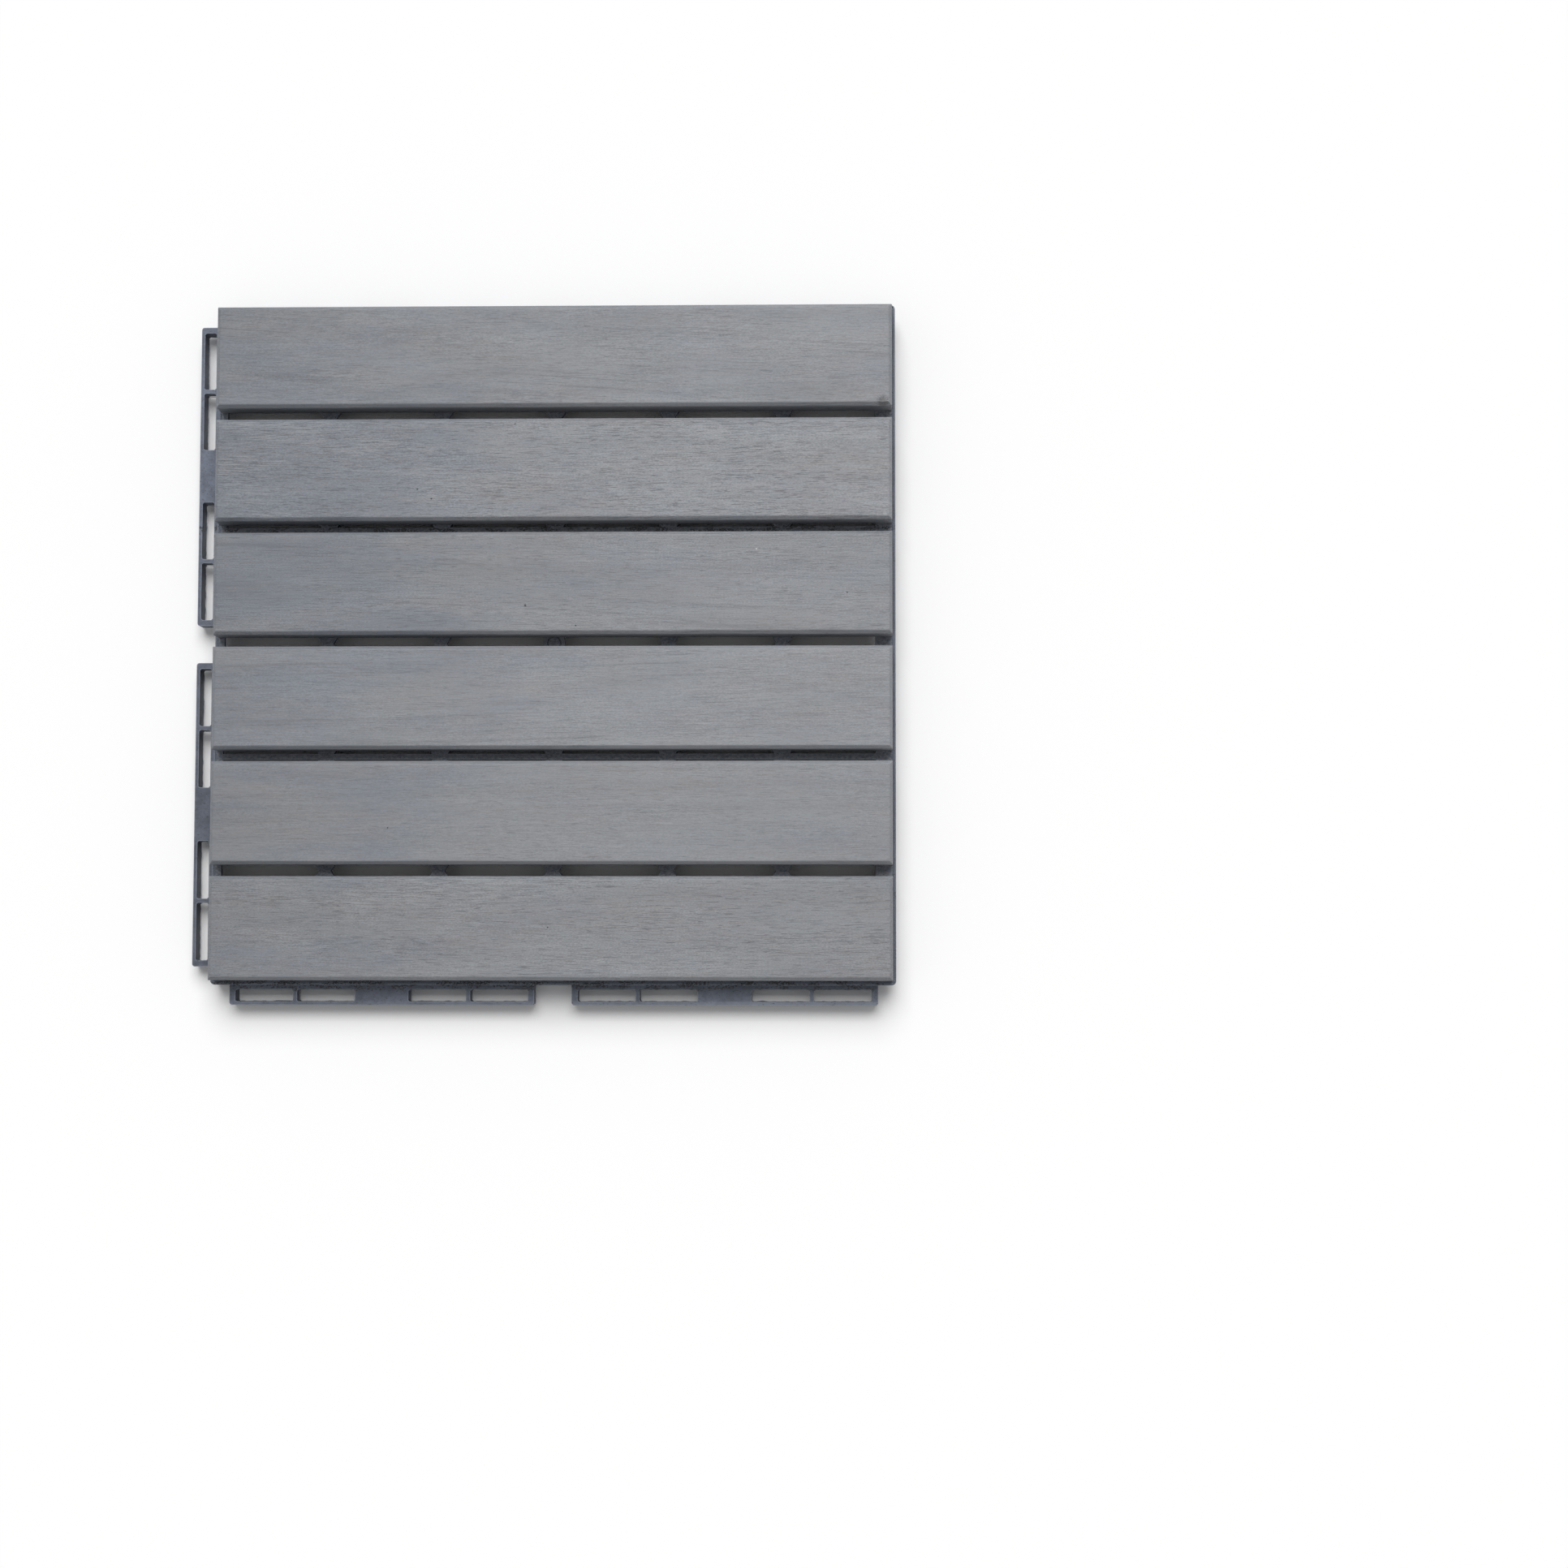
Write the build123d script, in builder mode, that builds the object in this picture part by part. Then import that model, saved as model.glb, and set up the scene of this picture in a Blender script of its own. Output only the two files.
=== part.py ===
from build123d import *
import os

# Interlocking deck tile: six wood slats, screwed from below to one moulded grid.
#
# The origin is on the ground, under the centre of the slat field. +Z is up and the slats
# run along X. The front (-Y) and left (-X) sides carry slotted loops. The back (+Y) and
# right (+X) sides carry a flange with pegs, which drop into the loops of the next tile.

os.makedirs("parts", exist_ok=True)

# Layout
module = 300.0  # from the centre of one laid tile to the centre of the next
body_gap = 2.0  # between the bodies of two laid tiles
slat_count = 6
slat_gap = 5.0
slat_end_margin = 1.5  # from the end of a slat to the edge of the body
slat_side_margin = 2.1  # from the first and last slat to the edge of the body

# Slats
slat_thickness = 12.0
slat_top_chamfer = 1.5
slat_foot_chamfer = 0.5

# Body of the grid
body_height = 12.0
body_corner = 2.0
plate_thickness = 2.2
edge_band = 4.0
rim_width = 0.8
rim_height = 0.5
wall_thickness = 1.5
wall_lift = 2.5  # the walls and loops end above the ground

# Openings between the bars, hexagons with a point towards each bar
bar_waist = 5.0
opening_half_width = 13.0
opening_flare = 0.65  # how much narrower the opening gets for each millimetre off its middle

# Ribs under the plate
rib_lift = 3.0
bar_rib_thickness = 2.0
slat_rib_thickness = 1.6
slat_rib_offset = 10.4  # either side of a slat's middle
gap_rib_thickness = 2.7
gap_rib_rows = (-1, 1)  # the gaps that a rib runs along, counted from the middle one

# Feet: hollow ones round the screws, plain posts on other bars and near the left and right edges
foot_size = 13.0
foot_wall = 2.0
post_size = 8.0
post_bars = (-1, 0, 1)  # the bars that carry posts, counted from the middle one
edge_post_inset = 10.0

# Round pad in the middle, where the plastic was let into the mould
gate_pad_radius = 4.6
gate_disc_radius = 2.4
gate_groove_width = 0.8
gate_groove_depth = 1.0

# Loops
loop_inner_bar = 2.1
loop_outer_bar = 1.5
loop_end_bar = 2.6
loop_cross_bar = 1.8
loop_corner = 1.2
loop_plate_length = 23.4
loop_plate_thickness = 2.2
loop_web_thickness = 1.5
cross_bar_lift = 4.0
slot_length = 25.2
slot_width = 5.2
slot_corner = 0.6

# Pegs
peg_width = 18.0
peg_thickness = 3.4
peg_lift = 0.8
peg_lip_height = 1.0
peg_catch = 0.5
peg_tip_taper = 0.9

# Clearances between a tile and the next one
flange_clearance = 0.3
bar_clearance = 0.4
peg_clearance = 0.8
catch_clearance = 0.2

# Screws
screw_bars = (-2, 2)  # the bars that carry screws, counted from the middle one
screw_radius = 2.0
screw_head_radius = 3.9
screw_head_height = 2.4
screw_length = 12.0
recess_size = 2.5
recess_depth = 1.6
pilot_clearance = 0.05
pilot_end_clearance = 0.4
screw_hole_clearance = 0.25

# Places that follow from the sizes
body_size = module - body_gap
slat_length = body_size - 2 * slat_end_margin
slat_pitch = (body_size - 2 * slat_side_margin + slat_gap) / slat_count
slat_width = slat_pitch - slat_gap
slat_rows = [(row - (slat_count - 1) / 2) * slat_pitch for row in range(slat_count)]
bar_columns = [(bar - (slat_count - 2) / 2) * slat_pitch for bar in range(slat_count - 1)]
screw_spots = [(bar * slat_pitch, y) for bar in screw_bars for y in slat_rows]
half_body = body_size / 2
plate_bottom = body_height - plate_thickness
loop_reach = loop_inner_bar + slot_width + loop_outer_bar
loop_top = plate_bottom - flange_clearance
loop_length = 2 * (loop_end_bar + 2 * slot_length + loop_cross_bar) + loop_plate_length
loop_centre = slat_count * slat_pitch / 4
loop_centres = (-loop_centre, loop_centre)
inner_slot = (loop_plate_length + slot_length) / 2
outer_slot = inner_slot + slot_length + loop_cross_bar
cross_bar_centre = (loop_plate_length + loop_cross_bar) / 2 + slot_length
slot_centre = half_body + loop_inner_bar + slot_width / 2
slot_shifts = (-outer_slot, -inner_slot, inner_slot, outer_slot)
slot_places = [c + shift for c in loop_centres for shift in slot_shifts]
cross_bar_places = [c + shift for c in loop_centres for shift in (-cross_bar_centre, cross_bar_centre)]

# The wall behind the pegs leaves room for the loop's outer bar
wall_outer = module - half_body - loop_reach - bar_clearance
wall_inner = wall_outer - wall_thickness
wall_size = half_body + wall_outer
wall_centre = (wall_outer - half_body) / 2
opening_low = -half_body + edge_band
opening_size = wall_inner - opening_low
opening_centre = (wall_inner + opening_low) / 2
peg_inner = module - half_body - loop_inner_bar - slot_width + peg_clearance
peg_outer = peg_inner + peg_thickness

# Middles of the posts
post_columns = [bar * slat_pitch for bar in post_bars]
post_columns += [edge_post_inset - half_body, wall_inner - wall_thickness - post_size / 2]
post_spots = [(x, y) for x in post_columns for y in slat_rows]


# One hexagonal opening of the plate, which ends in a point towards the bars beside it
opening_point = (slat_pitch - bar_waist) / 2
opening_shoulder = opening_point - opening_flare * opening_half_width
with BuildSketch() as opening:
    with BuildLine():
        Polyline(
            (-opening_point, 0),
            (-opening_shoulder, opening_half_width),
            (opening_shoulder, opening_half_width),
            (opening_point, 0),
            (opening_shoulder, -opening_half_width),
            (-opening_shoulder, -opening_half_width),
            close=True,
        )
    make_face()


# The two loops of the front side: four slots each, with a solid plate between the pairs
with BuildPart() as loops:
    with BuildSketch(Plane.XY.offset(wall_lift)):
        with Locations(*[(x, -half_body - loop_reach / 2) for x in loop_centres]):
            Rectangle(loop_length, loop_reach)
    extrude(amount=loop_top - wall_lift)
    outer_corners = loops.edges().filter_by(Axis.Z).group_by(Axis.Y)[0]
    fillet(outer_corners, loop_corner)
    with BuildSketch(Plane.XY.offset(wall_lift)) as slots:
        with Locations(*[(x, -slot_centre) for x in slot_places]):
            Rectangle(slot_length, slot_width)
        chamfer(slots.vertices(), slot_corner)
    extrude(amount=loop_top - wall_lift, mode=Mode.SUBTRACT)
    # The bars between the slots of a pair are shallower than the loop
    with BuildSketch(Plane.XY.offset(wall_lift)):
        with Locations(*[(x, -slot_centre) for x in cross_bar_places]):
            Rectangle(loop_cross_bar, slot_width)
    extrude(amount=cross_bar_lift - wall_lift, mode=Mode.SUBTRACT)
    # The solid plate is hollow underneath
    with BuildSketch(Plane.XY.offset(wall_lift)):
        with Locations(*[(x, -slot_centre) for x in loop_centres]):
            Rectangle(loop_plate_length - 2 * loop_web_thickness, slot_width)
    extrude(amount=loop_top - loop_plate_thickness - wall_lift, mode=Mode.SUBTRACT)


# The pegs of the right side, one for each slot, with a lip that catches under the loop
with BuildPart() as peg:
    lip_top = wall_lift - catch_clearance
    lip_reach = peg_inner - peg_clearance - peg_catch
    with BuildSketch(Plane.XZ):
        with BuildLine():
            Polyline(
                (peg_inner, body_height - plate_thickness / 2),
                (peg_outer, body_height - plate_thickness / 2),
                (peg_outer, peg_lift + peg_tip_taper),
                (peg_outer - peg_tip_taper, peg_lift),
                (peg_inner, peg_lift),
                (lip_reach, lip_top - peg_lip_height / 2),
                (lip_reach, lip_top),
                (peg_inner, lip_top),
                close=True,
            )
        make_face()
    extrude(amount=peg_width / 2, both=True)
with BuildPart() as peg_row:
    with Locations(*[(0, y, 0) for y in slot_places]):
        add(peg.part)


# The moulded grid that carries the slats
with BuildPart() as base_grid:
    # Top plate with its openings, kept inside the edge bands
    with BuildSketch(Plane.XY.offset(plate_bottom)):
        RectangleRounded(body_size, body_size, body_corner)
    extrude(amount=plate_thickness)
    with BuildSketch(Plane.XY.offset(plate_bottom)):
        with GridLocations(slat_pitch, slat_pitch, slat_count, slat_count + 1):
            add(opening.sketch)
        with Locations((opening_centre, opening_centre)):
            Rectangle(opening_size, opening_size, mode=Mode.INTERSECT)
    extrude(amount=plate_thickness, mode=Mode.SUBTRACT)

    # Low rim round the top
    with BuildSketch(Plane.XY.offset(body_height)):
        RectangleRounded(body_size, body_size, body_corner)
        Rectangle(body_size - 2 * rim_width, body_size - 2 * rim_width, mode=Mode.SUBTRACT)
    extrude(amount=rim_height)

    # Outer wall, set back under the flange on the right and at the back
    with BuildSketch(Plane.XY.offset(wall_lift)):
        with Locations((wall_centre, wall_centre)):
            RectangleRounded(wall_size, wall_size, body_corner)
            Rectangle(wall_size - 2 * wall_thickness, wall_size - 2 * wall_thickness, mode=Mode.SUBTRACT)
    extrude(amount=plate_bottom - wall_lift)

    # Ribs along the bars
    with BuildSketch(Plane.XY.offset(rib_lift)):
        with Locations(*[(x, wall_centre) for x in bar_columns]):
            Rectangle(bar_rib_thickness, wall_size - wall_thickness)
    extrude(amount=plate_bottom - rib_lift)

    # Two ribs under each slat
    with BuildSketch(Plane.XY.offset(rib_lift)):
        with Locations(*[(wall_centre, y + side * slat_rib_offset) for y in slat_rows for side in (-1, 1)]):
            Rectangle(wall_size - wall_thickness, slat_rib_thickness)
    extrude(amount=plate_bottom - rib_lift)

    # Ribs along two of the gaps, which show between the slats
    with BuildSketch(Plane.XY.offset(rib_lift)):
        with Locations(*[(wall_centre, row * slat_pitch) for row in gap_rib_rows]):
            Rectangle(wall_size - wall_thickness, gap_rib_thickness)
    extrude(amount=body_height - rib_lift)

    # Hollow feet round the screws, and plain posts
    with BuildSketch():
        with Locations(*screw_spots):
            Rectangle(foot_size, foot_size)
        with Locations(*post_spots):
            Rectangle(post_size, post_size)
    extrude(amount=plate_bottom)
    with BuildSketch():
        with Locations(*screw_spots):
            Rectangle(foot_size - 2 * foot_wall, foot_size - 2 * foot_wall)
    extrude(amount=plate_bottom, mode=Mode.SUBTRACT)

    # Round pad of the gate, with a groove round its disc
    with BuildSketch(Plane.XY.offset(plate_bottom)):
        Circle(gate_pad_radius)
    extrude(amount=plate_thickness)
    with BuildSketch(Plane.XY.offset(body_height)):
        Circle(gate_disc_radius + gate_groove_width)
        Circle(gate_disc_radius, mode=Mode.SUBTRACT)
    extrude(amount=-gate_groove_depth, mode=Mode.SUBTRACT)

    # Screw holes through the plate
    with BuildSketch(Plane.XY.offset(plate_bottom)):
        with Locations(*screw_spots):
            Circle(screw_radius + screw_hole_clearance)
    extrude(amount=plate_thickness, mode=Mode.SUBTRACT)

    # Loops and pegs, and the same mirrored on to the two other sides
    add(loops.part)
    add(peg_row.part)
    diagonal = Plane(origin=(0, 0, 0), z_dir=(1, -1, 0))
    mirror(loops.part, about=diagonal)
    mirror(peg_row.part, about=diagonal)

base_grid.part.label = "base_grid"
export_step(base_grid.part, "parts/base_grid.step")


# One screw, standing head down under the plate, tip up in the slat
head_bottom = plate_bottom - screw_head_height
screw_tip = plate_bottom + screw_length
with BuildPart() as screw:
    with BuildSketch(Plane.XZ):
        with BuildLine():
            Polyline(
                (0, head_bottom),
                (screw_head_radius, head_bottom),
                (screw_head_radius, plate_bottom),
                (screw_radius, plate_bottom),
                (screw_radius, screw_tip),
                (0, screw_tip),
                close=True,
            )
        make_face()
    revolve(axis=Axis.Z)
    with BuildSketch(Plane.XY.offset(head_bottom)):
        Rectangle(recess_size, recess_size)
    extrude(amount=recess_depth, mode=Mode.SUBTRACT)

with BuildPart() as slat_screws:
    with Locations(*[(x, y, 0) for x, y in screw_spots]):
        add(screw.part)
slat_screws.part.label = "slat_screws"
export_step(slat_screws.part, "parts/slat_screws.step")


# The slats, slat_1 at the front, with a pilot hole round each screw
for number, row in enumerate(slat_rows, start=1):
    with BuildPart() as slat:
        with BuildSketch(Plane.XY.offset(body_height)):
            with Locations((0, row)):
                Rectangle(slat_length, slat_width)
        extrude(amount=slat_thickness)
        chamfer(slat.faces().sort_by(Axis.Z)[-1].edges(), slat_top_chamfer)
        chamfer(slat.faces().sort_by(Axis.Z)[0].edges(), slat_foot_chamfer)
        with BuildSketch(Plane.XY.offset(body_height)):
            with Locations(*[(bar * slat_pitch, row) for bar in screw_bars]):
                Circle(screw_radius + pilot_clearance)
        extrude(amount=screw_length - plate_thickness + pilot_end_clearance, mode=Mode.SUBTRACT)
    slat.part.label = f"slat_{number}"
    export_step(slat.part, f"parts/slat_{number}.step")
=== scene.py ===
import math

import bmesh
import bpy
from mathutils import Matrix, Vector, geometry, noise


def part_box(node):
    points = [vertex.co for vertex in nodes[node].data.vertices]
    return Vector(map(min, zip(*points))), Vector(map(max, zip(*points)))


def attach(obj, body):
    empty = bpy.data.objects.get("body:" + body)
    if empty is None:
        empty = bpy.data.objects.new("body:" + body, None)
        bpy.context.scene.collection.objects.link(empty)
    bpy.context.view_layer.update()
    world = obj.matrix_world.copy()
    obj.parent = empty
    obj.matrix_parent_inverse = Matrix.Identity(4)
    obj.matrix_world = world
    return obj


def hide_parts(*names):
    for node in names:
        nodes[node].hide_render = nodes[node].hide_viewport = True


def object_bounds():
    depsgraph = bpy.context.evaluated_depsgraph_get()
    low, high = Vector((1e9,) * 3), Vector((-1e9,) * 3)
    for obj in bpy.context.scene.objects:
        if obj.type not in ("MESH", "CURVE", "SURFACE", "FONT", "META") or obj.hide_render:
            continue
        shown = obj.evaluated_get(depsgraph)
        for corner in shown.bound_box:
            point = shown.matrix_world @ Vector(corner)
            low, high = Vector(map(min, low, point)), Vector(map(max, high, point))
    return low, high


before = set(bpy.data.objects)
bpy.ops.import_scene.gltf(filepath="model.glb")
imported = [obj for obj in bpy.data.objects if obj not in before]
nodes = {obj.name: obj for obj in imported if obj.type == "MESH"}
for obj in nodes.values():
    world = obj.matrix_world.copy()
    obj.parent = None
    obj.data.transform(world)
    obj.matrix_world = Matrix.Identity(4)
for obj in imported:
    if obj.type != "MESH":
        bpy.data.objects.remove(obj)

# Interlocking deck tile: six stained wood slats on a moulded plastic grid. Lengths are in metres.

MM = 0.001
cad_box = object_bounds()
cad_low = cad_box[0]
slat_names = sorted(name for name in nodes if name.startswith("slat_") and name != "slat_screws")
grid_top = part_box("base_grid")[1].z
slat_boxes = {name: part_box(name) for name in slat_names}
deck_low = slat_boxes[slat_names[0]][0]
deck_high = slat_boxes[slat_names[-1]][1]

# Camera, at the photograph's place above the front right part of the tile
camera_place = Vector((0.12527, -0.12821, 1.06786))
camera_target = Vector((0.10015, -0.06105, 0.0))
camera_lens = 55.9

# Light: a wide soft source, a third of the way down from straight overhead towards the back, and an even surround
sun_place = Vector((0.02, 0.66, 1.0))
sun_angle = math.radians(42)
sun_share = 0.66
surround_share = 0.34

# Tones, linear
floor_tone = 0.82
rosy_tint = (1.0, 0.935, 0.915, 1.0)
# Painted shade on wood faces that turn away from up
side_shade_tint = (0.95, 0.96, 0.975, 1.0)
paper_white = (1.0, 1.0, 1.0, 1.0)
wood_blue = (0.199, 0.218, 0.2485, 1.0)
wood_warm = (0.2325, 0.242, 0.257, 1.0)
wood_pore = (0.075, 0.080, 0.092, 1.0)
wood_silk = (0.330, 0.338, 0.350, 1.0)
end_dark = (0.078, 0.079, 0.083, 1.0)
end_pale = (0.138, 0.138, 0.141, 1.0)
plastic_dark = (0.054, 0.064, 0.088, 1.0)
plastic_light = (0.119, 0.138, 0.180, 1.0)
# Painted highlight on the plastic's upper edges and front rim
plastic_highlight = (0.34, 0.37, 0.43, 1.0)
grime_tone = (0.012, 0.012, 0.013, 1.0)
dust_tone = (0.26, 0.27, 0.29, 1.0)
chalk_tone = (0.66, 0.67, 0.68, 1.0)
zinc_tone = (0.60, 0.60, 0.59, 1.0)
zinc_bloom = (0.46, 0.46, 0.44, 1.0)


class Recipe:
    """A node material, made step by step."""

    def __init__(self, name):
        self.material = bpy.data.materials.new(name)
        self.material.use_nodes = True
        self.tree = self.material.node_tree
        self.tree.nodes.clear()
        self.shader = self.node("ShaderNodeBsdfPrincipled")
        output = self.node("ShaderNodeOutputMaterial")
        self.feed(output.inputs["Surface"], self.shader.outputs["BSDF"])
        self.place = self.node("ShaderNodeTexCoord").outputs["Object"]

    def node(self, kind, **settings):
        made = self.tree.nodes.new(kind)
        for key, value in settings.items():
            setattr(made, key, value)
        return made

    def feed(self, socket, value):
        if isinstance(value, bpy.types.NodeSocket):
            self.tree.links.new(value, socket)
        else:
            socket.default_value = value

    def math(self, operation, first, second=0.0):
        made = self.node("ShaderNodeMath", operation=operation)
        self.feed(made.inputs[0], first)
        self.feed(made.inputs[1], second)
        return made.outputs[0]

    def axes(self, vector):
        """The X, Y and Z of a vector."""
        made = self.node("ShaderNodeSeparateXYZ")
        self.feed(made.inputs[0], vector)
        return list(made.outputs)

    def joined(self, x, y, z):
        """A vector of these X, Y and Z."""
        made = self.node("ShaderNodeCombineXYZ")
        for socket, value in zip(made.inputs, (x, y, z)):
            self.feed(socket, value)
        return made.outputs[0]

    def stretched(self, lengths, offset=(0.0, 0.0, 0.0), place=None):
        """The place on the object, counted in features of these lengths along X, Y and Z."""
        made = self.node("ShaderNodeMapping")
        self.feed(made.inputs["Vector"], place or self.place)
        self.feed(made.inputs["Location"], offset)
        self.feed(made.inputs["Scale"], tuple(1 / length for length in lengths))
        return made.outputs[0]

    def noise(self, lengths, offset=(0.0, 0.0, 0.0), detail=2.0, roughness=0.5, distortion=0.0, place=None):
        made = self.node("ShaderNodeTexNoise")
        self.feed(made.inputs["Vector"], self.stretched(lengths, offset, place))
        self.feed(made.inputs["Scale"], 1.0)
        self.feed(made.inputs["Detail"], detail)
        self.feed(made.inputs["Roughness"], roughness)
        self.feed(made.inputs["Distortion"], distortion)
        return made.outputs["Fac"]

    def window(self, value, low, high, out_low=0.0, out_high=1.0):
        """Maps low..high to out_low..out_high, smoothly and held at both ends."""
        made = self.node("ShaderNodeMapRange", interpolation_type="SMOOTHSTEP")
        self.feed(made.inputs["Value"], value)
        self.feed(made.inputs["From Min"], low)
        self.feed(made.inputs["From Max"], high)
        self.feed(made.inputs["To Min"], out_low)
        self.feed(made.inputs["To Max"], out_high)
        return made.outputs["Result"]

    def swing(self, value, amount, low=0.25, high=0.75):
        """A noise as a change by minus to plus this amount."""
        return self.window(value, low, high, -amount, amount)

    def blend(self, factor, first, second, kind="MIX"):
        made = self.node("ShaderNodeMix", data_type="RGBA", blend_type=kind)
        self.feed(made.inputs["Factor"], factor)
        self.feed(made.inputs[6], first)
        self.feed(made.inputs[7], second)
        return made.outputs[2]

    def specked(self, colour, tone, offset, cell, radius, share, strength):
        """The colour with scattered round specks of this tone, one in the given share of the cells."""
        made = self.node("ShaderNodeTexVoronoi", feature="F1")
        self.feed(made.inputs["Vector"], self.stretched((cell, cell, cell), offset))
        self.feed(made.inputs["Scale"], 1.0)
        split = self.node("ShaderNodeSeparateColor")
        self.feed(split.inputs[0], made.outputs["Color"])
        chosen = self.math("LESS_THAN", split.outputs[0], share)
        size = self.math("MULTIPLY", split.outputs[1], radius)
        inside = self.math("LESS_THAN", made.outputs["Distance"], size)
        speck = self.math("MULTIPLY", chosen, inside)
        return self.blend(self.math("MULTIPLY", speck, strength), colour, tone)

    def distance(self, centre, spread=(1.0, 1.0, 1.0)):
        """How far the place is from the centre, with the axes weighted by the spread."""
        made = self.node("ShaderNodeVectorMath", operation="DISTANCE")
        scaled = self.node("ShaderNodeVectorMath", operation="MULTIPLY")
        self.feed(scaled.inputs[0], self.place)
        self.feed(scaled.inputs[1], spread)
        self.feed(made.inputs[0], scaled.outputs[0])
        self.feed(made.inputs[1], tuple(c * s for c, s in zip(centre, spread)))
        return made.outputs["Value"]

    def raised(self, height, depth, normal=None):
        """The normal of a surface with this relief."""
        made = self.node("ShaderNodeBump")
        self.feed(made.inputs["Strength"], 1.0)
        self.feed(made.inputs["Distance"], depth)
        self.feed(made.inputs["Height"], height)
        if normal is not None:
            self.feed(made.inputs["Normal"], normal)
        return made.outputs[0]


# Marks on single slats, where the photograph shows them: X and Y and radius in millimetres, and tone
slat_marks = {
    1: [((-0.8, -124.2), 0.45, grime_tone)],
    4: [((-11.4, 14.9), 0.60, grime_tone), ((88.7, 39.4), 0.40, chalk_tone)],
    5: [((-52.6, 61.7), 0.40, grime_tone), ((-58.7, 66.0), 0.40, grime_tone),
        ((-16.4, 94.4), 0.50, grime_tone), ((144.3, 54.5), 0.90, wood_silk)],
}
mark_core, mark_strength = 0.6, 0.85
gouged_slat = 6
gouge_from_end, gouge_from_side, gouge_from_top = 4.2 * MM, 1.2 * MM, 0.8 * MM
gouge_radius, gouge_depth = 3.4 * MM, 0.55 * MM
gouge_core, gouge_strength = 0.5, 0.75

# The wood's features: how long they are along the grain and how wide across it
wander_size = (150 * MM, 70 * MM)
stain_size = (60 * MM, 16 * MM)
unstained_size = (8.0 * MM, 0.8 * MM)
unstained_patch = (50 * MM, 12 * MM)
figure_size = (60 * MM, 18 * MM)
band_size = (190 * MM, 5.0 * MM)
streak_size = (24 * MM, 0.75 * MM)
silk_size = (7.0 * MM, 0.34 * MM)
fibre_size = (0.9 * MM, 0.30 * MM)
cloud_size = (55 * MM, 15 * MM)
growth_size = (240 * MM, 1.4 * MM)
growth_patch = (80 * MM, 22 * MM)
pore_band = (45 * MM, 5.0 * MM)
short_pore = (4.0 * MM, 0.26 * MM)
long_pore = (9.0 * MM, 0.28 * MM)
silver_size = (9.0 * MM, 0.32 * MM)
rough_lengths = (0.50 * MM, 0.30 * MM, 0.55 * MM)
slat_shift = (17.3, 9.1, 5.7)
wander_reach = 3.0 * MM
ring_pitch, pith_depth = 2.4 * MM, 30 * MM
first_pith, pith_step = 0.2, 0.1
arris_reach = (0.40 * MM, 0.15 * MM)
arris_below = (1.9 * MM, 1.6 * MM)
wood_relief, streak_relief, pore_relief = 0.06 * MM, 0.6, 0.8
wood_gloss = 0.35

# How far each one lightens and darkens the wood, and the growth lines as a multiple of the slow lights
band_swing = 0.043
streak_swing = 0.09
silk_swing = 0.10
fibre_swing = 0.16
growth_share = 2.6
pore_strength = 0.50
ring_strength = 0.14
arris_strength = 0.55

# The part of a noise's range in which each one shows, and what it is at the two ends, if not 0 and 1
stain_shows = (0.30, 0.66)
unstained_shows = (0.40, 0.62)
unstained_in_places = (0.38, 0.62, 0.45, 1.55)
figure_shows, figure_range = (0.36, 0.64), (0.65, 1.25)
cloud_shows = (0.32, 0.68)
growth_shows, growth_in_places = (0.58, 0.70), (0.44, 0.60)
crowding = (0.35, 0.65, 0.06, -0.01)
pore_shows = (0.67, 0.73)
silver_shows = (0.62, 0.90, 0.0, 0.45)
end_tones = (0.30, 0.70)
torn_shows = (0.56, 0.66, 0.0, 0.45)
arris_in_places = (0.40, 0.55, 0.3, 1.0)
uneven_mark = (0.3, 0.7, 0.6, 1.6)
uneven_gouge = (0.3, 0.7, 0.75, 1.4)
wood_roughness = (0.2, 0.8, 0.50, 0.66)

# The same for how far the surface faces up, or to an end
# How far a face turns from up, for the painted shade on chamfers and sides
side_shade_facing = (0.76, 0.93, 1.0, 0.0)
end_facing, end_chamfer_facing = (0.80, 0.97), (0.35, 0.60)

# Specks: size of their cells, radius in cells, share of the cells that have one, and strength
dark_specks = (13 * MM, 0.030, 0.22, 0.85)
pale_specks = (22 * MM, 0.016, 0.25, 0.7)

# Changes along all slats: from and to these places, and what they are there
calmer_stain = (-60 * MM, 80 * MM, 1.10, 0.75)
bluer_left = (-150 * MM, 0.0)
# Painted light falloff: the slats darker towards the left end and lighter to the right
painted_light_ramp = (-210 * MM, 60 * MM, 0.825, 1.052)


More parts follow.
